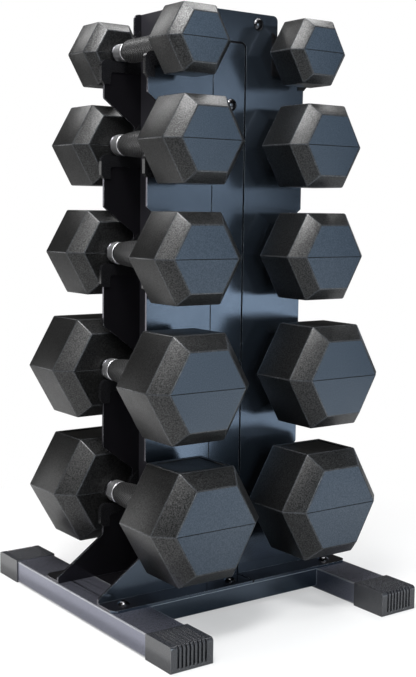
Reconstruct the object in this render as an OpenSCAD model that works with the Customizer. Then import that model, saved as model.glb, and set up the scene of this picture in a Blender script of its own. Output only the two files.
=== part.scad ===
// Five-row dumbbell rack: a folded-steel column on two foot tubes, with ten hexagonal dumbbells
// hung in pairs on hooked wings. X runs across the rack, -Y is the front and +Z is up.
// The origin is on the floor at the centre of the footprint.

/* [Column] */
// Height of the column's top edge
rack_h = 690; // [680:1:720]
// Thickness of the folded steel sheet
sheet_t = 3; // [2.5:0.1:3.5]
// Distance from the centre plane to the outer face of the front and rear sheets
sheet_y = 48; // [46:0.5:50]
// Half width across the hooked wings
wing_x = 110; // [108:0.5:112]
// Half width of the neck between two wings
neck_x = 69; // [68:0.5:70]
// Distance from the centre to the outer face of each side web
web_x = 60; // [56:0.5:60]
// Angle below level of each wing's underside
wing_slope = 36.5; // [30:0.5:40]
// Height of each saddle, top row to bottom row
saddle_z = [635.5, 527.5, 401.5, 263.5, 114]; // [100:0.5:640]
// Height of the clear mouth above the second to fifth saddles
mouth_h = [64, 65.5, 64.5, 69]; // [60:0.5:72]

/* [Seam between the two half frames] */
// Distance from the centre to the score line of the upper sheet, where its cut-back top starts
score_x = 23; // [20:0.5:26]
// How far the upper sheet reaches past the centre
lap_end_x = 21.5; // [18:0.5:26]
// Height of the upper sheet's reach past the score line
lap_top_z = 654; // [640:1:660]
// Radius of the upper sheet's top corner
lap_corner_r = 5; // [3:0.5:12]
// Gap between the edges of the two sheets
seam_gap = 2.4; // [1:0.1:3]
// Width of the score line
score_w = 1.8; // [0.8:0.1:2]
// Depth of the score line
score_deep = 1; // [0.4:0.1:1]

/* [Base] */
// Half width of the flared foot of each sheet
flare_x = 171; // [166:0.5:172]
// Height where the wings start to flare outwards
flare_top_z = 77; // [70:1:80]
// Height where the flare ends in an upright edge
flare_low_z = 34; // [32:1:38]
// Reach of the base flange in front of and behind the centre plane
flange_y = 79.5; // [76:0.5:84]
// Centre of each foot tube
foot_x = 147; // [146:0.5:148]
// Width of a foot tube
foot_w = 50; // [48:1:50]
// Height of a foot tube
foot_h = 25.4; // [25:0.1:26]
// Wall of a foot tube
foot_wall = 2; // [1.5:0.1:2.5]
// Overall length of a foot with its end caps
foot_len = 392; // [380:1:410]
// Length of an end cap
cap_len = 48; // [40:1:60]
// Wall of an end cap beside and below the tube
cap_wall = 1.3; // [1:0.1:1.6]
// Number of grip grooves across an end cap
cap_grooves = 8; // [4:1:9]
// Spacing of the grip grooves
cap_pitch = 4.9; // [4:0.1:5]
// Thickness of an end cap's closed end
cap_end = 6; // [5.5:0.5:8]
// Bottom edge of the crossbeam
beam_low_z = 5; // [3:0.5:8]

/* [Fasteners] */
// Diameter of a button head
bolt_head_d = 14; // [12:0.5:15]
// Height of a button head
bolt_head_h = 4.4; // [3.5:0.1:5]
// Diameter of the bolt shank
bolt_d = 8; // [6:0.5:8]
// Heights of the bolts down the seam
seam_bolt_z = [584.5, 413, 126]; // [100:0.5:620]
// Distance of the seam bolts from the centre, towards the lower sheet
seam_bolt_x = 3; // [0:0.5:5]
// Half spacing of the two bolts at the top
top_bolt_x = 40.5; // [36:0.5:44]
// Height of the two bolts at the top
top_bolt_z = 678; // [676:0.5:680]
// Distance of the base bolts from the centre plane
base_bolt_y = 63; // [61:0.5:66]

/* [Saddle liners] */
// Thickness of a liner across the sheet
liner_t = 5.4; // [5:0.1:6]
// Cover over the steel edge under a handle
liner_cover = 3; // [2.5:0.1:3.5]
// Cover over the neck's edge
liner_side = 2.6; // [2:0.1:2.6]
// Width of the band that shows on each face of the sheet
liner_band = 12.5; // [10:0.5:14]
// Height of the inner leg above the saddle
liner_leg = 26; // [20:1:26]
// Depth of the outer lip below the saddle
liner_lip = 28; // [24:1:30]

/* [Dumbbells] */
// Head size across flats, top row to bottom row
head_af = [72, 93, 99.5, 117.5, 125]; // [70:0.5:126]
// Length of a head's full-size middle
head_l = [36, 49.5, 49.5, 59, 62.5]; // [34:0.5:64]
// Distance from the centre plane to a head's inner face
head_y = [58, 56, 53.5, 53.5, 55]; // [53.5:0.5:58]
// Distance from the centre to a dumbbell's axis
bell_x = [82.6, 84.6, 89.5, 96, 88.6]; // [82.6:0.1:97]
// Radius of a handle's plain collars
collar_r = [10.5, 12.5, 13, 13, 13.3]; // [10:0.1:13.5]
// Largest radius of a handle's grip
grip_r = [13.7, 15.5, 16, 16, 16]; // [12:0.1:16]
// Bevel depth as a share of the size across flats
bevel_share = 0.155; // [0.12:0.005:0.17]
// Size of an end face as a share of the full hexagon
face_share = 0.73; // [0.66:0.01:0.8]
// Half length of the grip between its collars
grip_half = 37.5; // [34:0.5:38]
// Gap that keeps a handle just off its saddle
rest_gap = 0.3; // [0.3:0.05:0.5]

/* [Hidden] */
ROWS = [0:4];
FRONT = -1;
LEFT = -1;
plain_nodes = [
    "left_front_plate", "right_front_plate", "left_rear_plate", "right_rear_plate",
    "left_web", "right_web", "top_brace", "crossbeam", "left_end_plate", "right_end_plate",
    "left_foot_tube", "right_foot_tube", "left_front_cap", "left_rear_cap",
    "right_front_cap", "right_rear_cap", "left_front_saddles", "right_front_saddles",
    "left_rear_saddles", "right_rear_saddles",
    "plate_bolts", "plate_nuts", "base_bolts", "base_nuts",
];
function side_name(side) = side == LEFT ? "left" : "right";
function bell_node(side, row, piece) = str(side_name(side), "_", row + 1, "_", piece);

$fn = 48;
foot_top_z = cap_wall + foot_h;
flange_top_z = foot_top_z + sheet_t;
beam_x = foot_x - foot_w / 2;
web_reach = 14;
brace_drop = 20;
brace_gap = 2;
drill_l = 100;
nut_h = 6.5;
nut_af = 13;
edge_r = 6;
small_r = 3;
saddle_dip = 1.5;
lip_run = 8.5;
web_gap = 0.6;
wing_drop = (wing_x - neck_x) * tan(wing_slope);
leg_x = neck_x + liner_side;
lip_t = 4.2;
liner_x = wing_x + lip_t;
flange_chamfer = 6;
socket_af = 5;
socket_depth = 2.6;
crown_share = 0.62;
tenon_r_share = 0.75;
tenon_l_share = 0.6;
grip_step = 0.3;
slip = 0.02;
steel = [0.36, 0.42, 0.5];
dark = [0.09, 0.09, 0.1];

// ---- Outline helpers -------------------------------------------------------------------

function unit(v) = v / norm(v);
function turned(v, a) = [v.x * cos(a) - v.y * sin(a), v.x * sin(a) + v.y * cos(a)];

// The corner p = [x, y, radius] between neighbours a and b, as a short arc
function corner(a, p, b, steps = 5) =
    let (at = [p.x, p.y], u = unit([a.x, a.y] - at), v = unit([b.x, b.y] - at))
    let (half = acos(u * v) / 2, centre = at + unit(u + v) * p[2] / sin(half))
    let (from = at + u * p[2] / tan(half) - centre, to = at + v * p[2] / tan(half) - centre)
    let (sweep = (180 - 2 * half) * sign(cross(from, to)))
    p[2] == 0 ? [at] : [for (k = [0:steps]) centre + turned(from, sweep * k / steps)];

// A closed outline with each corner rounded to its own radius
function rounded(points) =
    let (n = len(points))
    [for (i = [0:n - 1]) each corner(points[(i + n - 1) % n], points[i], points[(i + 1) % n])];

// Stands an (x, z) outline up in the range of y given
module upright(y_low, y_high) {
    translate([0, y_high, 0])
        rotate([90, 0, 0])
            linear_extrude(y_high - y_low)
                children();
}

// Places a piece drawn on the right-hand front quarter
module on_quarter(side, face) {
    mirror([side == LEFT ? 1 : 0, 0, 0])
        mirror([0, face == FRONT ? 0 : 1, 0])
            children();
}

// ---- Front and rear sheets ---------------------------------------------------------------

function wing_foot_z(row) = saddle_z[row + 1] + mouth_h[row];

// One hooked wing above a mouth: seat, ear, outer edge and sloping underside
function hook(row) = [
    [neck_x, saddle_z[row] - saddle_dip - liner_cover, small_r],
    [wing_x, saddle_z[row] - saddle_dip - liner_cover, edge_r],
    [wing_x, wing_foot_z(row), small_r],
    [neck_x, wing_foot_z(row) - wing_drop, edge_r],
];

// Outline of a sheet, from the points of its inner edge to its wings
function sheet_outline(inner_edge) = rounded(concat(
    inner_edge,
    [[neck_x, rack_h, edge_r]],
    [for (row = [0:3]) each hook(row)],
    [
        [neck_x, saddle_z[4] - saddle_dip - liner_cover, small_r],
        [wing_x, saddle_z[4] - saddle_dip - liner_cover, edge_r],
        [wing_x, flare_top_z, edge_r],
        [flare_x, flare_low_z, small_r],
        [flare_x, foot_top_z, 0],
    ]
));

// Flat flange that rests on the feet, from inner_x to the flare
module flange(inner_x, outer_x) {
    c = flange_chamfer;
    translate([0, 0, foot_top_z])
        linear_extrude(sheet_t)
            polygon([
                [inner_x, -sheet_y + sheet_t], [inner_x, -flange_y],
                [outer_x - c, -flange_y], [outer_x, -flange_y + c], [outer_x, -sheet_y + sheet_t],
            ]);
}

module base_bolt_holes(xs) {
    for (x = xs)
        translate([x, -base_bolt_y, 0])
            cylinder(h = drill_l, d = bolt_d);
}

module plate_bolt_holes(xs, zs) {
    for (x = xs, z = zs)
        translate([x, 0, z])
            rotate([90, 0, 0])
                cylinder(h = drill_l, d = bolt_d);
}

// The upper sheet: it reaches past the centre and lies over the other sheet's set-back tongue
module upper_sheet() {
    x = -lap_end_x;
    difference() {
        union() {
            upright(-sheet_y, -sheet_y + sheet_t)
                polygon(sheet_outline([
                    [x, foot_top_z, 0], [x, lap_top_z, lap_corner_r], [score_x, lap_top_z, 0],
                    [score_x, rack_h, 0],
                ]));
            flange(x, flare_x);
        }
        translate([score_x - score_w / 2, -sheet_y - 1, flange_top_z + small_r])
            cube([score_w, 1 + score_deep, lap_top_z - flange_top_z]);
        base_bolt_holes([0, foot_x]);
        plate_bolt_holes([-seam_bolt_x], seam_bolt_z);
        plate_bolt_holes([top_bolt_x], [top_bolt_z]);
    }
}

// The lower sheet: cut back round the upper one, with a tongue set one thickness behind it
module lower_sheet() {
    cut_x = lap_end_x + seam_gap;
    tongue_x = -score_x + sheet_t;
    tongue_top = lap_top_z - lap_corner_r;
    back_y = -sheet_y + sheet_t;
    difference() {
        union() {
            upright(-sheet_y, back_y)
                polygon(sheet_outline([
                    [cut_x, foot_top_z, 0], [cut_x, lap_top_z + seam_gap, lap_corner_r + seam_gap],
                    [-score_x + seam_gap, lap_top_z + seam_gap, 0], [-score_x + seam_gap, rack_h, 0],
                ]));
            flange(cut_x, flare_x);
            translate([0, 0, flange_top_z])
                linear_extrude(tongue_top - flange_top_z)
                    polygon([
                        [cut_x + sheet_t, -sheet_y], [cut_x + sheet_t, back_y],
                        [cut_x, back_y + sheet_t], [tongue_x, back_y + sheet_t],
                        [tongue_x, back_y], [cut_x, back_y],
                    ]);
        }
        base_bolt_holes([foot_x]);
        plate_bolt_holes([seam_bolt_x], seam_bolt_z);
        plate_bolt_holes([top_bolt_x], [top_bolt_z]);
    }
}

module left_front_plate() {
    color(steel)
        mirror([1, 0, 0])
            upper_sheet();
}

module right_front_plate() {
    color(steel)
        lower_sheet();
}

module left_rear_plate() {
    color(steel)
        rotate([0, 0, 180])
            lower_sheet();
}

module right_rear_plate() {
    color(steel)
        rotate([0, 0, 180])
            mirror([1, 0, 0])
                upper_sheet();
}

// ---- Inside the column ---------------------------------------------------------------------

// Side web: a channel that closes the column between the front and rear sheets
module web() {
    inner_y = sheet_y - sheet_t;
    translate([0, 0, foot_top_z])
        linear_extrude(rack_h - foot_top_z)
            difference() {
                translate([web_x - web_reach, -inner_y])
                    square([web_reach, 2 * inner_y]);
                translate([web_x - web_reach - 1, -inner_y + sheet_t])
                    square([web_reach + 1 - sheet_t, 2 * (inner_y - sheet_t)]);
            }
}

module left_web() {
    color(dark)
        mirror([1, 0, 0])
            web();
}

module right_web() {
    color(dark)
        web();
}

// Channel that ties the two sheets together under the top edge
module top_brace() {
    inner_y = sheet_y - sheet_t;
    half = web_x - web_reach;
    low_z = rack_h - brace_gap - brace_drop;
    color(dark)
        difference() {
            translate([-half, -inner_y, low_z])
                cube([2 * half, 2 * inner_y, brace_drop]);
            translate([-half - 1, -inner_y + sheet_t, low_z - sheet_t])
                cube([2 * half + 2, 2 * (inner_y - sheet_t), brace_drop]);
            for (x = [-top_bolt_x, top_bolt_x])
                translate([x, 0, top_bolt_z])
                    rotate([90, 0, 0])
                        cylinder(h = drill_l, d = bolt_d, center = true);
        }
}

// ---- Base ----------------------------------------------------------------------------------

module crossbeam() {
    color(dark)
        difference() {
            translate([-beam_x, -flange_y, beam_low_z])
                cube([2 * beam_x, 2 * flange_y, foot_top_z - beam_low_z]);
            translate([-beam_x - 1, -flange_y + sheet_t, beam_low_z - sheet_t])
                cube([2 * beam_x + 2, 2 * (flange_y - sheet_t), foot_top_z - beam_low_z]);
            for (y = [-base_bolt_y, base_bolt_y])
                translate([0, y, 0])
                    cylinder(h = drill_l, d = bolt_d);
        }
}

// Plate that closes one end of the crossbeam against its foot tube
module end_plate() {
    translate([beam_x - sheet_t, -flange_y + sheet_t, beam_low_z])
        cube([sheet_t, 2 * (flange_y - sheet_t), foot_top_z - beam_low_z - sheet_t]);
}

module left_end_plate() {
    color(dark)
        mirror([1, 0, 0])
            end_plate();
}

module right_end_plate() {
    color(dark)
        end_plate();
}

module foot_tube() {
    tube_len = foot_len - 2 * cap_end;
    difference() {
        translate([foot_x - foot_w / 2, -tube_len / 2, cap_wall])
            cube([foot_w, tube_len, foot_h]);
        translate([foot_x - foot_w / 2 + foot_wall, -tube_len, cap_wall + foot_wall])
            cube([foot_w - 2 * foot_wall, 2 * tube_len, foot_h - 2 * foot_wall]);
        for (y = [-base_bolt_y, base_bolt_y])
            translate([foot_x, y, foot_top_z - 2 * foot_wall])
                cylinder(h = drill_l, d = bolt_d);
    }
}

module left_foot_tube() {
    color(steel)
        mirror([1, 0, 0])
            foot_tube();
}

module right_foot_tube() {
    color(steel)
        foot_tube();
}

// Moulded sleeve over a foot's front end, with grooves along its top and down its end
module foot_cap() {
    cap_w = foot_w + 2 * cap_wall;
    cap_h = foot_h + 2 * cap_wall;
    end_y = -foot_len / 2;
    groove_w = 2.6;
    groove_deep = 1;
    groove_inset = 4;
    slot_deep = cap_end - 1.5;
    difference() {
        translate([foot_x - cap_w / 2, 0, 0])
            rotate([90, 0, 90])
                linear_extrude(cap_w)
                    polygon(rounded([
                        [end_y, 0, 1], [end_y + cap_len, 0, 0],
                        [end_y + cap_len, cap_h, 1], [end_y, cap_h, 4],
                    ]));
        translate([foot_x - foot_w / 2, end_y + cap_end, cap_wall])
            cube([foot_w, cap_len, foot_h]);
        for (k = [0:cap_grooves - 1]) {
            x = foot_x + (k - (cap_grooves - 1) / 2) * cap_pitch - groove_w / 2;
            translate([x, end_y - 1, cap_h - groove_deep])
                cube([groove_w, 1 + cap_len - groove_inset, groove_deep + 1]);
            translate([x, end_y - 1, groove_inset])
                cube([groove_w, 1 + slot_deep, cap_h]);
        }
    }
}

module left_front_cap() {
    color(dark)
        on_quarter(LEFT, FRONT)
            foot_cap();
}

module left_rear_cap() {
    color(dark)
        on_quarter(LEFT, -FRONT)
            foot_cap();
}

module right_front_cap() {
    color(dark)
        foot_cap();
}

module right_rear_cap() {
    color(dark)
        on_quarter(-LEFT, -FRONT)
            foot_cap();
}

// ---- Saddle liners -------------------------------------------------------------------------

// Outline of one moulded liner: outer lip, saddle and inner leg with a 45 degree top
function liner_outline(z) =
    let (leg_top = z + liner_leg, leg_in = web_x + web_gap, band_z = z - saddle_dip - liner_band)
    rounded([
        [wing_x, z - liner_lip, 0],
        [liner_x, z - liner_lip + liner_x - wing_x, 1],
        [liner_x, z, 8],
        [liner_x - lip_run, z, 4],
        [liner_x - 2 * lip_run, z - saddle_dip, 10],
        [leg_x, z - saddle_dip, 4],
        [leg_x, leg_top, 1],
        [leg_in, leg_top + leg_x - leg_in, 1],
        [leg_in, band_z, 2],
        [liner_x - liner_band, band_z, 4],
        [liner_x - liner_band, z - liner_lip, 0],
    ]);

// The liners of one wing column, slotted over the sheet's edges
module saddles() {
    mid_y = -sheet_y + sheet_t / 2;
    difference() {
        upright(mid_y - liner_t / 2, mid_y + liner_t / 2)
            for (row = ROWS)
                polygon(liner_outline(saddle_z[row]));
        upright(-sheet_y, -sheet_y + sheet_t)
            polygon(sheet_outline([[0, foot_top_z, 0], [0, rack_h, 0]]));
    }
}

module left_front_saddles() {
    color(dark)
        on_quarter(LEFT, FRONT)
            saddles();
}

module right_front_saddles() {
    color(dark)
        saddles();
}

module left_rear_saddles() {
    color(dark)
        on_quarter(LEFT, -FRONT)
            saddles();
}

module right_rear_saddles() {
    color(dark)
        on_quarter(-LEFT, -FRONT)
            saddles();
}

// ---- Fasteners -----------------------------------------------------------------------------

// Button-head bolt along +Z with its head's seat at z = 0
module button_bolt(grip) {
    crown_r = crown_share * bolt_head_d;
    difference() {
        union() {
            intersection() {
                cylinder(h = bolt_head_h, d = bolt_head_d);
                translate([0, 0, bolt_head_h - crown_r])
                    sphere(r = crown_r);
            }
            translate([0, 0, -grip])
                cylinder(h = grip + slip, d = bolt_d);
        }
        translate([0, 0, bolt_head_h - socket_depth])
            cylinder(h = socket_depth + 1, d = socket_af / cos(30), $fn = 6);
    }
}

// Hexagon nut below a joint of the given grip
module hex_nut(grip) {
    translate([0, 0, -grip - nut_h])
        difference() {
            cylinder(h = nut_h, d = nut_af / cos(30), $fn = 6);
            translate([0, 0, -1])
                cylinder(h = nut_h + 2, d = bolt_d);
        }
}

// Repeats a fastener on the bolts of the front and rear sheets
module at_plate_bolts() {
    tops = [for (side = [-1, 1]) [side * top_bolt_x, top_bolt_z]];
    for (turn = [0, 180], place = concat([for (z = seam_bolt_z) [seam_bolt_x, z]], tops))
        rotate([0, 0, turn])
            translate([place.x, -sheet_y, place.y])
                rotate([90, 0, 0])
                    children();
}

// Repeats a fastener on the given base bolts, down through the flanges
module at_base_bolts(xs) {
    for (x = xs, y = [-base_bolt_y, base_bolt_y])
        translate([x, y, flange_top_z])
            children();
}

module plate_bolts() {
    color(dark)
        at_plate_bolts()
            button_bolt(2 * sheet_t + nut_h);
}

module plate_nuts() {
    color(dark)
        at_plate_bolts()
            hex_nut(2 * sheet_t);
}

module base_bolts() {
    color(dark) {
        at_base_bolts([0])
            button_bolt(2 * sheet_t + nut_h);
        at_base_bolts([-foot_x, foot_x])
            button_bolt(sheet_t + foot_wall + nut_h);
    }
}

module base_nuts() {
    color(dark) {
        at_base_bolts([0])
            hex_nut(2 * sheet_t);
        at_base_bolts([-foot_x, foot_x])
            hex_nut(sheet_t + foot_wall);
    }
}

// ---- Dumbbells -----------------------------------------------------------------------------

function bell_z(row) = saddle_z[row] - saddle_dip + rest_gap + collar_r[row];
function bevel(row) = bevel_share * head_af[row];
function tenon_r(row) = tenon_r_share * collar_r[row];
function tenon_l(row) = tenon_l_share * head_l[row];

module at_bell(side, row) {
    translate([side * bell_x[row], 0, bell_z(row)])
        children();
}

// Front head on the dumbbell's own axis: three bevelled slabs crossed at 60 degrees
module head(row) {
    flat_r = head_af[row] / 2;
    face_r = flat_r * face_share;
    inner = -head_y[row];
    outer = inner - head_l[row] - 2 * bevel(row);
    difference() {
        intersection_for (a = [0, 60, 120])
            rotate([0, a, 0])
                rotate([90, 0, 90])
                    linear_extrude(4 * flat_r, center = true)
                        polygon([
                            [inner, face_r], [inner - bevel(row), flat_r],
                            [outer + bevel(row), flat_r], [outer, face_r],
                            [outer, -face_r], [outer + bevel(row), -flat_r],
                            [inner - bevel(row), -flat_r], [inner, -face_r],
                        ]);
        translate([0, inner, 0])
            rotate([90, 0, 0])
                cylinder(h = 2 * tenon_l(row), r = tenon_r(row), center = true);
    }
}

// Handle: a bulged grip between plain collars, with tenons pressed into the heads
module handle(row) {
    r = collar_r[row];
    rise = grip_r[row] - r;
    steps = 12;
    color("silver")
        rotate([90, 0, 0])
            rotate_extrude()
                polygon(concat(
                    [[0, -head_y[row] - tenon_l(row)], [tenon_r(row), -head_y[row] - tenon_l(row)]],
                    [[tenon_r(row), -head_y[row]], [r, -head_y[row]], [r, -grip_half]],
                    [for (k = [-steps:steps]) let (t = k / steps)
                        [r - grip_step + rise * (1 - t * t), t * (grip_half - 1)]],
                    [[r, grip_half], [r, head_y[row]], [tenon_r(row), head_y[row]]],
                    [[tenon_r(row), head_y[row] + tenon_l(row)], [0, head_y[row] + tenon_l(row)]]
                ));
}

// ---- Assembly ------------------------------------------------------------------------------

left_front_plate();
right_front_plate();
left_rear_plate();
right_rear_plate();
left_web();
right_web();
top_brace();
crossbeam();
left_end_plate();
right_end_plate();
left_foot_tube();
right_foot_tube();
left_front_cap();
left_rear_cap();
right_front_cap();
right_rear_cap();
left_front_saddles();
right_front_saddles();
left_rear_saddles();
right_rear_saddles();
plate_bolts();
plate_nuts();
base_bolts();
base_nuts();
for (side = [-1, 1], row = ROWS) {
    at_bell(side, row)
            color(dark)
                head(row);
    at_bell(side, row)
            color(dark)
                mirror([0, 1, 0])
                    head(row);
    at_bell(side, row)
            handle(row);
}
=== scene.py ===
"""Five-row dumbbell rack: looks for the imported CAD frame. Metres, X across, -Y front, +Z up."""
import math

import bmesh
import bpy
from mathutils import Matrix, Vector


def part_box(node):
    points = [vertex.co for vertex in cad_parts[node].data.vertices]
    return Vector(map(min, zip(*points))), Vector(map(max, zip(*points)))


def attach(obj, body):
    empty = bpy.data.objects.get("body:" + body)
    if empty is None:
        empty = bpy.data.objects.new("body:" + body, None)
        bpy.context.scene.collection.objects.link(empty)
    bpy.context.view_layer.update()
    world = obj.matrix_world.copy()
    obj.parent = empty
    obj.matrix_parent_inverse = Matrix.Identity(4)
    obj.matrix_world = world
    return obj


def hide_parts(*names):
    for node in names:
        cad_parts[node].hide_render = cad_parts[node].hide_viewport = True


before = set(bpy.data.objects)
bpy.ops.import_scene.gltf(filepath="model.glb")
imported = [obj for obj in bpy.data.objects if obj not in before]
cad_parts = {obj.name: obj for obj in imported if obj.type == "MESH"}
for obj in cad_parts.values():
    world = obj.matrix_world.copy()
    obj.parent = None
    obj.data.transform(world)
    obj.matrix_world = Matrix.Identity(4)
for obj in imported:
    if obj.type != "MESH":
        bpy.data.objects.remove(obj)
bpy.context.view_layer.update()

MM = 0.001
SIDES = ("left", "right")
ROWS = range(1, 6)

# Shares of a head's size, as in the CAD model
BEVEL_SHARE = 0.155
FACE_SHARE = 0.73
# Half of the grip's length, and how far its knurl stops short of that
GRIP_HALF = 37.5 * MM
GRIP_SHOULDER = 1.0 * MM


# ---- Materials ---------------------------------------------------------------------------------

class Nodes:
    """Small helper that builds a material's node tree around its Principled shader."""

    def __init__(self, name):
        self.material = bpy.data.materials.new(name)
        self.material.use_nodes = True
        self.tree = self.material.node_tree
        self.shader = self.tree.nodes["Principled BSDF"]
        self.coords = self.add("ShaderNodeTexCoord").outputs["Object"]

    def add(self, kind, **settings):
        node = self.tree.nodes.new(kind)
        for key, value in settings.items():
            setattr(node, key, value)
        return node

    def link(self, source, target):
        self.tree.links.new(source, target)

    def noise(self, scale, detail=3.0, roughness=0.5, stretch=None):
        texture = self.add("ShaderNodeTexNoise")
        texture.inputs["Scale"].default_value = scale
        texture.inputs["Detail"].default_value = detail
        texture.inputs["Roughness"].default_value = roughness
        source = self.coords
        if stretch:
            mapping = self.add("ShaderNodeMapping")
            mapping.inputs["Scale"].default_value = stretch
            self.link(self.coords, mapping.inputs["Vector"])
            source = mapping.outputs["Vector"]
        self.link(source, texture.inputs["Vector"])
        return texture.outputs["Fac"]

    def ramp(self, source, low, high, from_low=0.3, from_high=0.7):
        node = self.add("ShaderNodeMapRange")
        node.inputs["From Min"].default_value = from_low
        node.inputs["From Max"].default_value = from_high
        node.inputs["To Min"].default_value = low
        node.inputs["To Max"].default_value = high
        self.link(source, node.inputs["Value"])
        return node.outputs["Result"]

    def mix(self, factor, low, high):
        node = self.add("ShaderNodeMix", data_type="RGBA")
        node.inputs["A"].default_value = (*low, 1.0)
        node.inputs["B"].default_value = (*high, 1.0)
        self.link(factor, node.inputs["Factor"])
        return node.outputs["Result"]

    def bump(self, height, distance, strength=1.0):
        node = self.add("ShaderNodeBump")
        node.inputs["Distance"].default_value = distance
        node.inputs["Strength"].default_value = strength
        self.link(height, node.inputs["Height"])
        self.link(node.outputs["Normal"], self.shader.inputs["Normal"])

    def set(self, **values):
        for key, value in values.items():
            self.shader.inputs[key.replace("_", " ")].default_value = value


def powder_coat(name, low, high, roughness, metallic=0.0, painted_shade_colour=None):
    """Satin fine-texture powder coat: orange peel, faint tone drift and tiny bright flakes.

    With a painted shade colour, only faces turned away from the rack's centre plane get the full coat: the
    inner faces and the cut edges are painted that dark colour as painted shade.
    """
    m = Nodes(name)
    peel = m.noise(1400, detail=2.0)
    drift = m.noise(9, detail=4.0)
    flakes = m.noise(2600, detail=1.0)
    tone = m.add("ShaderNodeMath", operation="MULTIPLY_ADD")
    tone.inputs[1].default_value = 0.45
    m.link(m.ramp(flakes, 0.0, 1.0, 0.35, 0.68), tone.inputs[0])
    m.link(m.ramp(drift, 0.1, 0.6), tone.inputs[2])
    colour = m.mix(tone.outputs["Value"], low, high)
    if painted_shade_colour:
        place, facing = m.add("ShaderNodeSeparateXYZ"), m.add("ShaderNodeSeparateXYZ")
        m.link(m.coords, place.inputs["Vector"])
        m.link(m.add("ShaderNodeNewGeometry").outputs["Normal"], facing.inputs["Vector"])
        outward = m.add("ShaderNodeMath", operation="MULTIPLY")
        m.link(place.outputs["Y"], outward.inputs[0])
        m.link(facing.outputs["Y"], outward.inputs[1])
        painted_shade_mix = m.mix(m.ramp(outward.outputs["Value"], 0.0, 1.0, 0.004, 0.020), painted_shade_colour, high)
        m.link(colour, painted_shade_mix.node.inputs["B"])
        colour = painted_shade_mix
    m.link(colour, m.shader.inputs["Base Color"])
    m.link(m.ramp(peel, roughness - 0.05, roughness + 0.07), m.shader.inputs["Roughness"])
    m.bump(peel, 0.00003, 0.55)
    m.set(Metallic=metallic)
    return m.material


def rubber(name, low, high, roughness, grain=900, grain_depth=0.00010, strength=0.8):
    """Moulded rubber with a fine pebbled grain and soft scuffing."""
    m = Nodes(name)
    pebbles = m.noise(grain, detail=2.5, roughness=0.6)
    scuffs = m.noise(30, detail=5.0, roughness=0.65)
    m.link(m.mix(m.ramp(pebbles, 0.0, 1.0, 0.38, 0.66), low, high), m.shader.inputs["Base Color"])
    m.link(m.ramp(scuffs, roughness - 0.05, roughness + 0.06), m.shader.inputs["Roughness"])
    m.bump(pebbles, grain_depth, strength)
    m.link(m.ramp(pebbles, 0.26, 0.48, 0.35, 0.65), m.shader.inputs["Specular IOR Level"])
    return m.material


def plastic(name, colour, roughness, shine=0.5):
    """Moulded polypropylene: fine spark-eroded texture."""
    m = Nodes(name)
    spark = m.noise(1800, detail=2.0)
    worn = [c * 1.5 for c in colour]
    m.link(m.mix(m.ramp(spark, 0.0, 1.0), colour, worn), m.shader.inputs["Base Color"])
    m.link(m.ramp(spark, roughness - 0.03, roughness + 0.03), m.shader.inputs["Roughness"])
    m.bump(spark, 0.00001, 0.5)
    m.set(Specular_IOR_Level=shine)
    return m.material


def bare_metal(name, colour, roughness, stretch):
    """Turned and polished metal with faint rings and smears."""
    m = Nodes(name)
    rings = m.noise(700, detail=2.0, stretch=stretch)
    dull = [c * 0.9 for c in colour]
    m.link(m.mix(m.ramp(rings, 0.0, 1.0), dull, colour), m.shader.inputs["Base Color"])
    m.link(m.ramp(rings, roughness * 0.7, roughness * 1.4), m.shader.inputs["Roughness"])
    m.bump(rings, 0.00001, 0.3)
    m.set(Metallic=1.0)
    return m.material


# The slate coat paints its inner faces and cut edges dark: painted shade.
SLATE = powder_coat("slate_powder_coat", (0.056, 0.074, 0.098), (0.128, 0.158, 0.200), 0.18, metallic=0.9,
                    painted_shade_colour=(0.060, 0.057, 0.068))
# Light coat on the slate sheets' rounded edges: a painted highlight.
SLATE_PAINTED_HIGHLIGHT = powder_coat("slate_painted_highlight", (0.40, 0.43, 0.46), (0.52, 0.55, 0.58), 0.32, metallic=0.6)
BLACK_COAT = powder_coat("black_powder_coat", (0.022, 0.021, 0.026), (0.034, 0.033, 0.040), 0.42)
TUBE_COAT = powder_coat("tube_powder_coat", (0.19, 0.195, 0.245), (0.26, 0.265, 0.32), 0.28, metallic=0.8)
# Light coat on the foot tubes' rounded edges: a painted highlight.
TUBE_PAINTED_HIGHLIGHT = powder_coat("tube_painted_highlight", (0.36, 0.37, 0.40), (0.50, 0.51, 0.54), 0.30, metallic=0.6)
PRISM_RUBBER = rubber("prism_rubber", (0.004, 0.004, 0.004), (0.017, 0.017, 0.017), 0.33,
                      grain=700, grain_depth=0.00022)
# A lighter copy of the prism rubber for the heads' bevel facets: painted light.
BEVEL_PAINTED_LIGHT_RUBBER = rubber("bevel_painted_light_rubber", (0.004, 0.004, 0.004), (0.034, 0.034, 0.034), 0.33,
                      grain=700, grain_depth=0.00026)
FACE_RUBBER = rubber("face_rubber", (0.034, 0.047, 0.064), (0.050, 0.068, 0.092), 0.42,
                     grain=900, grain_depth=0.00010, strength=0.6)
# Lighter rubber on the heads' rounded edges and inner seams: a painted highlight.
EDGE_PAINTED_HIGHLIGHT_RUBBER = rubber("edge_painted_highlight_rubber", (0.030, 0.031, 0.033), (0.060, 0.062, 0.066), 0.26,
                     grain=600, strength=0.4)
# Near-black rubber in the outer mould seam: painted shade in the groove.
SEAM_PAINTED_SHADE_RUBBER = rubber("seam_painted_shade_rubber", (0.004, 0.005, 0.006), (0.010, 0.011, 0.013), 0.6)
CAP_PLASTIC = plastic("cap_plastic", (0.026, 0.027, 0.031), 0.26, shine=1.0)
# Light plastic on the caps' rounded rib edges: a painted highlight.
CAP_PAINTED_HIGHLIGHT = plastic("cap_painted_highlight", (0.30, 0.30, 0.31), 0.24)
SADDLE_PLASTIC = plastic("saddle_plastic", (0.008, 0.008, 0.009), 0.26, shine=0.35)
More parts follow.
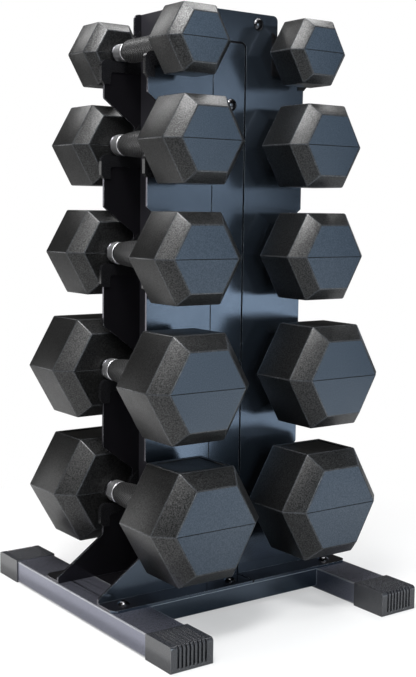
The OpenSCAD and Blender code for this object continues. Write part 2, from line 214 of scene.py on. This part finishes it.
# Lighter plastic on the saddles' rounded edges: a painted highlight.
SADDLE_PAINTED_HIGHLIGHT = plastic("saddle_painted_highlight", (0.075, 0.075, 0.072), 0.22)
GRIP_TIP = plastic("grip_tip", (0.045, 0.045, 0.046), 0.36)
# Near-black plastic on the knurl's groove walls: painted shade in the grooves.
GRIP_PIT_PAINTED_SHADE = plastic("grip_pit_painted_shade", (0.006, 0.006, 0.006), 0.50, shine=0.3)
CHROME = bare_metal("chrome", (0.78, 0.78, 0.80), 0.44, (1, 40, 1))
# Dark metal in the collars' grooves and end rings: painted shade.
PAINTED_SHADE_RING = bare_metal("painted_shade_ring", (0.10, 0.10, 0.11), 0.26, (1, 40, 1))
BLACK_OXIDE = bare_metal("black_oxide", (0.10, 0.10, 0.105), 0.18, (8, 8, 8))


# ---- Mesh helpers --------------------------------------------------------------------------------

def make_object(name, bm, materials, body, smooth_angle=35):
    bmesh.ops.recalc_face_normals(bm, faces=bm.faces[:])
    mesh = bpy.data.meshes.new(name)
    bm.to_mesh(mesh)
    bm.free()
    for material in materials:
        mesh.materials.append(material)
    obj = bpy.data.objects.new(name, mesh)
    bpy.context.scene.collection.objects.link(obj)
    mesh.shade_smooth()
    mesh.set_sharp_from_angle(angle=math.radians(smooth_angle))
    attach(obj, body)
    return obj


def lathe(bm, profile, segments, centre, material_of=lambda k: 0):
    """Turns (y, radius) points about the Y axis through centre, closed by discs at both ends."""
    rings = []
    for y, radius in profile:
        ring = []
        for k in range(segments):
            a = 2 * math.pi * k / segments
            ring.append(bm.verts.new(centre + Vector((radius * math.cos(a), y, radius * math.sin(a)))))
        rings.append(ring)
    for j in range(len(rings) - 1):
        for k in range(segments):
            n = (k + 1) % segments
            face = bm.faces.new((rings[j][k], rings[j][n], rings[j + 1][n], rings[j + 1][k]))
            face.material_index = material_of(j)
    for ring, j in ((rings[0], 0), (rings[-1], len(rings) - 2)):
        bm.faces.new(ring).material_index = material_of(j)


def finish_cad(node, material, width, segments=2, painted_highlight_material=None):
    """Coats a carried-over CAD node and rounds its sharp edges, which may get a lighter material as a
    painted highlight.
    """
    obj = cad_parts[node]
    if not obj.material_slots:
        obj.data.materials.append(material)
    for place in obj.material_slots:
        place.material = material
    weld = obj.modifiers.new("weld", "WELD")
    weld.merge_threshold = 0.00001
    edge = obj.modifiers.new("edges", "BEVEL")
    edge.width = width
    edge.segments = segments
    edge.limit_method = "ANGLE"
    edge.angle_limit = math.radians(40)
    edge.harden_normals = True
    # A lighter material on the rounded edges: a painted highlight.
    if painted_highlight_material:
        obj.data.materials.append(painted_highlight_material)
        edge.material = len(obj.material_slots) - 1


# ---- Dumbbells -----------------------------------------------------------------------------------

PRISM, BEVEL, FACE, SEAM, EDGE = range(5)
HEAD_EDGE = 1.1 * MM
SEAM_HALF = 0.45 * MM
SEAM_DEPTH = 0.5 * MM
# The blank panel sunk in the top facet of the bottom row's heads
PANEL_MARGIN = 8.0 * MM
PANEL_SLOPE = 0.4 * MM
PANEL_DEPTH = 0.8 * MM
# A face square to an axis, a face along it, the side of the largest rounding facet, and one plane
SQUARE = 0.999
ALONG = 0.2
SMALL_FACE = 6 * MM
SAME_PLANE = 1e-5


def cut_seam(bm, centre, end_y, kind):
    """Splits an end face along its level midline and sinks the midline into a mould seam."""
    for offset in (SEAM_HALF, 0.0, -SEAM_HALF):
        faces = [f for f in bm.faces if abs(f.calc_center_median().y - end_y) < SAME_PLANE]
        geometry = list(dict.fromkeys(item for f in faces for item in (*f.verts, *f.edges, f)))
        bmesh.ops.bisect_plane(bm, geom=geometry, dist=1e-7,
                               plane_co=(0, 0, centre.z + offset), plane_no=(0, 0, 1))
    for face in bm.faces:
        middle = face.calc_center_median()
        if abs(middle.y - end_y) < SAME_PLANE and abs(middle.z - centre.z) < SEAM_HALF:
            face.material_index = kind
    inward = SEAM_DEPTH if end_y < centre.y else -SEAM_DEPTH
    for vert in bm.verts:
        if abs(vert.co.z - centre.z) < SAME_PLANE / 10 and abs(vert.co.y - end_y) < SAME_PLANE:
            vert.co.y += inward


def settle_order(bm):
    """Sorts a mesh by place, because Blender's bisect and inset leave its faces in an order that varies."""
    for items, place in ((bm.verts, lambda vert: tuple(vert.co)),
                         (bm.edges, lambda edge: sorted(vert.index for vert in edge.verts)),
                         (bm.faces, lambda face: sorted(vert.index for vert in face.verts))):
        for index, item in enumerate(sorted(items, key=place)):
            item.index = index
        items.sort()


def head(name, node, body, sunk_panel):
    """Hexagonal rubber head with flats on top and below, bevelled at both ends."""
    low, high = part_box(node)
    centre = (low + high) / 2
    flats = high.z - low.z
    radius = flats / math.sqrt(3)
    bevel = BEVEL_SHARE * flats
    rings = []
    bm = bmesh.new()
    for y, share in ((low.y, FACE_SHARE), (low.y + bevel, 1), (high.y - bevel, 1), (high.y, FACE_SHARE)):
        ring = []
        for k in range(6):
            a = math.radians(60 * k)
            ring.append(bm.verts.new((centre.x + share * radius * math.cos(a), y,
                                      centre.z + share * radius * math.sin(a))))
        rings.append(ring)
    for j, kind in ((0, BEVEL), (1, PRISM), (2, BEVEL)):
        for k in range(6):
            n = (k + 1) % 6
            bm.faces.new((rings[j][k], rings[j][n], rings[j + 1][n], rings[j + 1][k])).material_index = kind
    bm.faces.new(rings[0]).material_index = FACE
    bm.faces.new(rings[3]).material_index = FACE
    bmesh.ops.recalc_face_normals(bm, faces=bm.faces[:])
    bmesh.ops.bevel(bm, geom=bm.edges[:], offset=HEAD_EDGE, segments=3, profile=0.5, affect="EDGES",
                    material=-1, loop_slide=True)
    # Bevel facets get the lighter bevel rubber: painted light.
    for face in bm.faces:
        outward = face.normal.y * math.copysign(1, centre.y)
        shortest = min(edge.calc_length() for edge in face.edges)
        small = face.calc_area() < SMALL_FACE ** 2 or shortest < HEAD_EDGE
        flat = abs(outward) < ALONG or outward < -SQUARE
        # Small rounding faces get the edge rubber: a painted highlight.
        face.material_index = EDGE if small else PRISM if flat else FACE if outward > SQUARE else BEVEL
    if sunk_panel:
        top = max((f for f in bm.faces if f.normal.z > SQUARE), key=lambda f: f.calc_area())
        bmesh.ops.inset_region(bm, faces=[top], thickness=PANEL_MARGIN)
        bmesh.ops.inset_region(bm, faces=[top], thickness=PANEL_SLOPE, depth=-PANEL_DEPTH)
    outer_y, inner_y = (low.y, high.y) if centre.y < 0 else (high.y, low.y)
    # The outer seam gets the dark seam rubber: painted shade in the groove.
    cut_seam(bm, centre, outer_y, SEAM)
    # The inner seam gets the edge rubber: a painted highlight.
    cut_seam(bm, centre, inner_y, EDGE)
    settle_order(bm)
    obj = make_object(name, bm, (PRISM_RUBBER, BEVEL_PAINTED_LIGHT_RUBBER, FACE_RUBBER, SEAM_PAINTED_SHADE_RUBBER, EDGE_PAINTED_HIGHLIGHT_RUBBER),
                      body, 30)
    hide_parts(node)


# Knurl pitch, the groove's share of it, its depth, and how far the grip's swell stays inside the CAD one
KNURL = 1.9 * MM
KNURL_PIT = 0.30
KNURL_DEPTH = 0.45 * MM
GRIP_EASE = 0.3 * MM


def bulge(row, t):
    """Share of the grip's swell at t from -1 to 1: straight in the top row, contoured below."""
    if row == 1:
        return (1 - abs(t) ** 9) ** 0.6 if abs(t) < 1 else 0.0
    return 1 - t * t


def grip(name, node, body, row, centre, collar_r, grip_r):
    """Black grip with a diamond knurl: raised diamonds divided by crossing helical grooves."""
    around = 2 * round(math.pi * grip_r / KNURL)
    along = 2 * round(GRIP_HALF / KNURL)
    bm = bmesh.new()

    def point(j, k, lift):
        t = 2 * j / along - 1
        radius = collar_r + (grip_r - collar_r - GRIP_EASE) * bulge(row, t) + lift
        a = 2 * math.pi * k / around
        return bm.verts.new(centre + Vector((radius * math.cos(a), t * (GRIP_HALF - GRIP_SHOULDER),
                                             radius * math.sin(a))))

    grid = [[point(j, k, -KNURL_DEPTH if 0 < j < along else 0.0) for k in range(around)]
            for j in range(along + 1)]
    for j in range(along + 1):
        for k in range(around):
            if (j + k) % 2:
                continue
            cell = [grid[j][(k + 1) % around], grid[j][(k - 1) % around]]
            cell[1:1] = [grid[j + 1][k]] if j < along else []
            cell += [grid[j - 1][k]] if j > 0 else []
            if 1 < j < along - 1:
                reach = 1 - KNURL_PIT
                tips = [point(j, k + reach, 0.0), point(j + reach, k, 0.0), point(j, k - reach, 0.0),
                        point(j - reach, k, 0.0)]
                # The groove walls take the darker pit plastic: painted shade.
                for n in range(4):
                    bm.faces.new((cell[n], cell[(n + 1) % 4], tips[(n + 1) % 4], tips[n])).material_index = 1
                bm.faces.new(tips)
            else:
                bm.faces.new(cell)
    for j in (0, along):
        bm.faces.new(grid[j])
    obj = make_object(name, bm, (GRIP_TIP, GRIP_PIT_PAINTED_SHADE), body, 30)
    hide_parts(node)


def collar(name, body, centre, sign, radius, inner_y, outer_y):
    """Chrome band between two turned grooves; the grooves and the rings against the grip and the head are
    painted darker, as painted shade.
    """
    ease = 0.5 * MM
    groove = 0.8 * MM
    floor_r = radius - 1.0 * MM
    grip_ring, head_ring = 1.6 * MM, 3.2 * MM
    profile = [(inner_y, radius)]
    for y in (inner_y + grip_ring, outer_y - head_ring):
        profile += [(y - groove / 2 - ease, radius), (y - groove / 2, radius - ease),
                    (y - groove / 2, floor_r), (y + groove / 2, floor_r),
                    (y + groove / 2, radius - ease), (y + groove / 2 + ease, radius)]
    profile.append((outer_y, radius))
    groove_points = 6
    band = range(groove_points - 1, groove_points + 2)
    bm = bmesh.new()
    lathe(bm, [(sign * y, r) for y, r in profile], 64, centre, lambda k: 0 if k in band else 1)
    make_object(name, bm, (CHROME, PAINTED_SHADE_RING), body, 25)


# Radii by row, as in the CAD model
GRIP_R = {1: 13.7 * MM, 2: 15.5 * MM, 3: 16 * MM, 4: 16 * MM, 5: 16 * MM}
COLLAR_R = {1: 10.5 * MM, 2: 12.5 * MM, 3: 13 * MM, 4: 13 * MM, 5: 13.3 * MM}

for side in SIDES:
    for row in ROWS:
        prefix = f"{side}_{row}"
        body = prefix + "_dumbbell"
        for end in ("front", "rear"):
            head(f"{prefix}_{end}_rubber_head", f"{prefix}_{end}_head", body, row == 5)
        low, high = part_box(prefix + "_handle")
        centre = (low + high) / 2
        grip(prefix + "_grip", prefix + "_handle", body, row, centre, COLLAR_R[row], GRIP_R[row])
        for end, sign in (("front", -1), ("rear", 1)):
            head_low, head_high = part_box(f"{prefix}_{end}_head")
            inner = abs(head_high.y if sign < 0 else head_low.y)
            collar(f"{prefix}_{end}_collar", body, centre, sign, COLLAR_R[row],
                   GRIP_HALF - GRIP_SHOULDER, inner)


# ---- Rack ----------------------------------------------------------------------------------------

for name in ("left_front_plate", "right_front_plate", "left_rear_plate", "right_rear_plate"):
    finish_cad(name, SLATE, 0.6 * MM, painted_highlight_material=SLATE_PAINTED_HIGHLIGHT)
for name in ("left_web", "right_web", "top_brace", "left_end_plate", "right_end_plate"):
    finish_cad(name, BLACK_COAT, 0.5 * MM)
finish_cad("crossbeam", SLATE, 0.6 * MM, painted_highlight_material=SLATE_PAINTED_HIGHLIGHT)
for name in ("left_foot_tube", "right_foot_tube"):
    finish_cad(name, TUBE_COAT, 1.5 * MM, 3, TUBE_PAINTED_HIGHLIGHT)
for side in SIDES:
    for end in ("front", "rear"):
        finish_cad(f"{side}_{end}_cap", CAP_PLASTIC, 0.5 * MM, painted_highlight_material=CAP_PAINTED_HIGHLIGHT)
        finish_cad(f"{side}_{end}_saddles", SADDLE_PLASTIC, 0.8 * MM, 3, SADDLE_PAINTED_HIGHLIGHT)
for name in ("plate_bolts", "plate_nuts", "base_bolts", "base_nuts"):
    finish_cad(name, BLACK_OXIDE, 0.25 * MM)


# ---- Camera, light and floor -----------------------------------------------------------------------

def add_camera():
    """A view from off the rack's left front corner, at about two thirds of its height."""
    place = Vector((-0.7902, -1.1062, 0.4647))
    yaw, pitch, roll = math.radians(35.852), math.radians(6.426), math.radians(0.728)
    forward = Vector((math.sin(yaw) * math.cos(pitch), math.cos(yaw) * math.cos(pitch), -math.sin(pitch)))
    level_right = Vector((math.cos(yaw), -math.sin(yaw), 0))
    level_up = level_right.cross(forward)
    right = math.cos(roll) * level_right + math.sin(roll) * level_up
    up = math.cos(roll) * level_up - math.sin(roll) * level_right
    data = bpy.data.cameras.new("camera")
    data.sensor_fit = "VERTICAL"
    data.sensor_height = 24
    data.lens = 40.36
    camera = bpy.data.objects.new("camera", data)
    turn = Matrix((right, up, -forward)).transposed().to_4x4()
    camera.matrix_world = Matrix.Translation(place) @ turn
    bpy.context.scene.collection.objects.link(camera)
    bpy.context.scene.camera = camera


def softbox(name, place, target, width, height, power, colour=(1, 1, 1)):
    data = bpy.data.lights.new(name, "AREA")
    data.shape = "RECTANGLE"
    data.size = width
    data.size_y = height
    data.energy = power
    data.color = colour
    light = bpy.data.objects.new(name, data)
    light.location = place
    light.visible_camera = False
    light.rotation_euler = (Vector(target) - Vector(place)).to_track_quat("-Z", "Y").to_euler()
    bpy.context.scene.collection.objects.link(light)


def add_world():
    """White backdrop for the camera; a dim warm white surround for the light and reflections."""
    world = bpy.data.worlds.new("studio")
    world.use_nodes = True
    nodes, links = world.node_tree.nodes, world.node_tree.links
    surround = nodes["Background"]
    surround.inputs["Color"].default_value = (1.0, 0.97, 0.94, 1)
    surround.inputs["Strength"].default_value = 0.035
    backdrop = nodes.new("ShaderNodeBackground")
    backdrop.inputs["Color"].default_value = (1, 1, 1, 1)
    backdrop.inputs["Strength"].default_value = 1.0
    path = nodes.new("ShaderNodeLightPath")
    mix = nodes.new("ShaderNodeMixShader")
    links.new(path.outputs["Is Camera Ray"], mix.inputs["Fac"])
    links.new(surround.outputs["Background"], mix.inputs[1])
    links.new(backdrop.outputs["Background"], mix.inputs[2])
    links.new(mix.outputs["Shader"], nodes["World Output"].inputs["Surface"])
    bpy.context.scene.world = world


def add_floor():
    """Pale paper, lit and shadowed near the rack, that fades to the white of the backdrop.

    The camera sees the paper; light that bounces off the floor comes from a dimmer grey.
    """
    half_side = 6.0
    paper_white, bounce_grey = 0.84, 0.5
    fade_start, fade_end = 0.20, 0.60
    bm = bmesh.new()
    bmesh.ops.create_grid(bm, x_segments=1, y_segments=1, size=half_side)
    mesh = bpy.data.meshes.new("floor")
    bm.to_mesh(mesh)
    bm.free()
    floor = bpy.data.objects.new("floor", mesh)
    m = Nodes("floor_paper")
    m.set(Base_Color=(paper_white, paper_white, paper_white, 1), Roughness=0.9, Specular_IOR_Level=0.0)
    glow = m.add("ShaderNodeEmission")
    dim = m.add("ShaderNodeBsdfDiffuse")
    dim.inputs["Color"].default_value = (bounce_grey, bounce_grey, bounce_grey, 1)
    away = m.add("ShaderNodeVectorMath", operation="LENGTH")
    m.link(m.coords, away.inputs[0])
    fade = m.ramp(away.outputs["Value"], 0.45, 1.0, fade_start, fade_end)
    seen = m.add("ShaderNodeLightPath").outputs["Is Camera Ray"]
    paper = m.add("ShaderNodeMixShader")
    m.link(fade, paper.inputs["Fac"])
    m.link(m.shader.outputs["BSDF"], paper.inputs[1])
    m.link(glow.outputs["Emission"], paper.inputs[2])
    mix = m.add("ShaderNodeMixShader")
    m.link(seen, mix.inputs["Fac"])
    m.link(dim.outputs["BSDF"], mix.inputs[1])
    m.link(paper.outputs["Shader"], mix.inputs[2])
    m.link(mix.outputs["Shader"], m.tree.nodes["Material Output"].inputs["Surface"])
    mesh.materials.append(m.material)
    bpy.context.scene.collection.objects.link(floor)


bpy.context.scene.view_settings.view_transform = "Standard"
add_camera()
add_world()
add_floor()
softbox("top_box", (0, 0.2, 2.2), (0, 0, 0.3), 1.2, 1.2, 32)
softbox("top_right_box", (1.1, 0.35, 2.2), (0.0, 0, 0.5), 0.6, 0.6, 11)
softbox("key_box", (-0.60, -0.50, 1.65), (-0.05, 0, 0.5), 0.45, 0.4, 20)
softbox("side_key_box", (-1.1, -0.75, 1.25), (-0.05, 0, 0.4), 0.5, 0.5, 4)
softbox("left_box", (-1.5, -0.5, 1.3), (-0.05, 0, 0.4), 0.5, 0.9, 2.5)
softbox("rim_box", (-0.42, 1.25, 1.58), (-0.05, 0, 0.60), 0.45, 0.45, 3.6)
softbox("back_left_strip", (-1.2, 1.6, 0.33), (-0.1, 0, 0.3), 0.55, 0.9, 4.5)
softbox("floor_glow_left", (-0.40, 0.15, 0.005), (-0.40, 0.151, 1.0), 0.43, 0.95, 0.8)
softbox("floor_glow_front", (0.50, -0.72, 0.005), (0.50, -0.719, 1.0), 0.9, 0.8, 3.2, (0.80, 0.90, 1.0))
softbox("front_box", (-0.2, -2.2, 0.7), (0, 0, 0.35), 1.0, 1.0, 17, (0.72, 0.87, 1.0))
softbox("front_right_card", (1.30, -1.9, 0.16), (0, 0, 0.35), 0.5, 0.4, 1.4, (0.82, 0.91, 1.0))
softbox("front_right_far_card", (1.75, -1.9, 0.10), (0, 0, 0.35), 0.4, 0.3, 0.7, (0.82, 0.91, 1.0))
softbox("front_right_card_high", (1.25, -1.9, 0.70), (0, 0, 0.35), 0.45, 0.5, 0.95, (0.82, 0.91, 1.0))
softbox("right_box", (1.8, 0.3, 0.8), (0, 0, 0.35), 1.0, 1.0, 1.8, (0.75, 0.85, 1.0))
